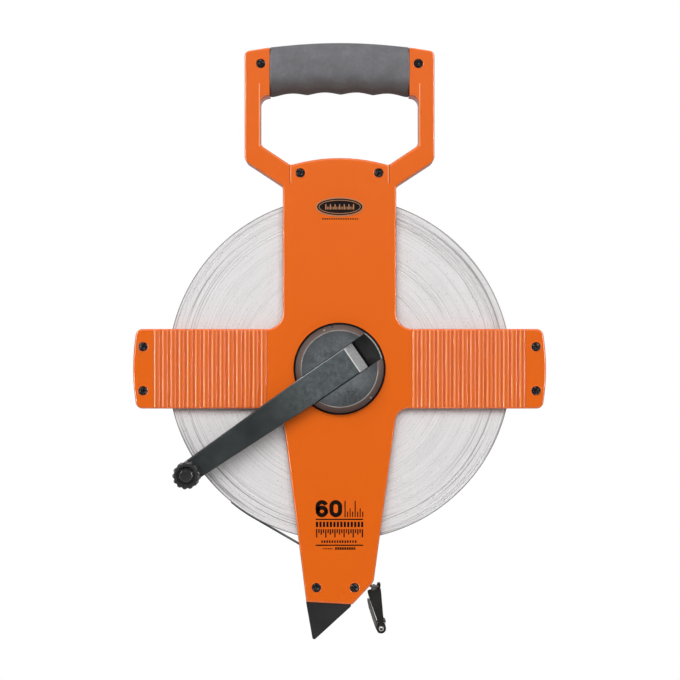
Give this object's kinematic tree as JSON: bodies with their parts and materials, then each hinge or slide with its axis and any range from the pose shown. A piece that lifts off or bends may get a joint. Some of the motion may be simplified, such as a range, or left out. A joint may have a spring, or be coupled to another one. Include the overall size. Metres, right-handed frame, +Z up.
{
  "type": "surveyor tape reel",
  "caption": "Open-reel long measuring tape: cross-shaped frame with a rubber hand grip, folding rewind crank, ground spike and a hinged end hook.",
  "frame": {"origin": "middle of the hand grip, on the frame's mid-plane", "axes": "+X to the right seen from the crank side, +Y from the crank side to the rear, +Z up from the ground spike to the grip"},
  "size_m": [0.2686, 0.0585, 0.3898],
  "materials": {
    "orange_plastic": "satin",
    "grip_rubber": "matte",
    "black_screw": "satin",
    "black_plastic": "satin",
    "badge": "gloss",
    "bearing_plastic": "satin",
    "pin_steel": "satin",
    "roller_plastic": "satin",
    "blade_coating": "satin",
    "drum_plastic": "matte",
    "roll_edges": "satin",
    "hub_plastic": "satin",
    "washer_plastic": "matte",
    "crank_plastic": "satin",
    "knob_plastic": "satin",
    "hook_steel": "polished",
    "hook_rubber": "satin"
  },
  "bodies": {
    "frame": {"front_frame_shell": "orange_plastic", "rear_frame_shell": "orange_plastic", "front_grip": "grip_rubber", "rear_grip": "grip_rubber", "frame_screws": "black_screw", "ground_spike": "black_plastic", "oval_badge": "badge", "front_bearing_ring": "bearing_plastic", "rear_bearing_ring": "bearing_plastic", "roller_pins": "pin_steel", "blade_run": "blade_coating"},
    "spool": {"spool_drum": "drum_plastic", "blade_anchor": "pin_steel", "blade_roll": "roll_edges", "crank_hub": "hub_plastic", "hub_screws": "black_screw", "rear_hub_cap": "hub_plastic", "crank_hinge_pin": "pin_steel", "hinge_washers": "washer_plastic"},
    "crank": {"crank_arm": "crank_plastic", "knob_spindle": "pin_steel"},
    "knob": {"crank_knob": "knob_plastic", "knob_cap": "knob_plastic"},
    "upper_roller": {"upper_guide_roller": "roller_plastic"},
    "lower_roller": {"lower_guide_roller": "roller_plastic"},
    "blade": {"blade_end": "blade_coating", "blade_clip": "hook_steel", "end_bumper": "hook_rubber"},
    "hook": {"hook_frame": "hook_steel", "hook_cover": "hook_rubber", "hook_pin": "pin_steel", "claw_pin": "hook_steel"},
    "claw": {"hook_claw": "hook_steel"}
  },
  "joints": [
    {"name": "spool_spin", "type": "hinge", "parent": "frame", "child": "spool", "pos_m": [0, 0, -0.195], "axis": [0, -1, 0], "continuous": true},
    {"name": "crank_fold", "type": "hinge", "parent": "spool", "child": "crank", "pos_m": [0.00908, -0.0171, -0.18879], "axis": [-0.565, 0, 0.8251], "range_deg": [0, 180]},
    {"name": "knob_spin", "type": "hinge", "parent": "crank", "child": "knob", "pos_m": [-0.09771, -0.033, -0.26275], "axis": [0, -1, 0], "continuous": true},
    {"name": "blade_pull", "type": "slide", "parent": "frame", "child": "blade", "axis": [0.8652, 0, -0.5015], "range_m": [0, 0.04]},
    {"name": "upper_roller_spin", "type": "hinge", "parent": "frame", "child": "upper_roller", "pos_m": [0.00732, 0, -0.32593], "axis": [0, -1, 0], "continuous": true},
    {"name": "lower_roller_spin", "type": "hinge", "parent": "frame", "child": "lower_roller", "pos_m": [0.00439, 0, -0.33099], "axis": [0, -1, 0], "continuous": true},
    {"name": "hook_swing", "type": "hinge", "parent": "blade", "child": "hook", "pos_m": [0.0225, 0, -0.3385], "axis": [0, -1, 0], "range_deg": [-8, 100]},
    {"name": "claw_fold", "type": "hinge", "parent": "hook", "child": "claw", "pos_m": [0.0272, 0, -0.3646], "axis": [0, -1, 0], "range_deg": [0, 150]}
  ],
  "couplings": [
    {"joint": "upper_roller_spin", "follows": "blade_pull", "rad_per_m": 416.67},
    {"joint": "lower_roller_spin", "follows": "blade_pull", "rad_per_m": -416.67}
  ]
}
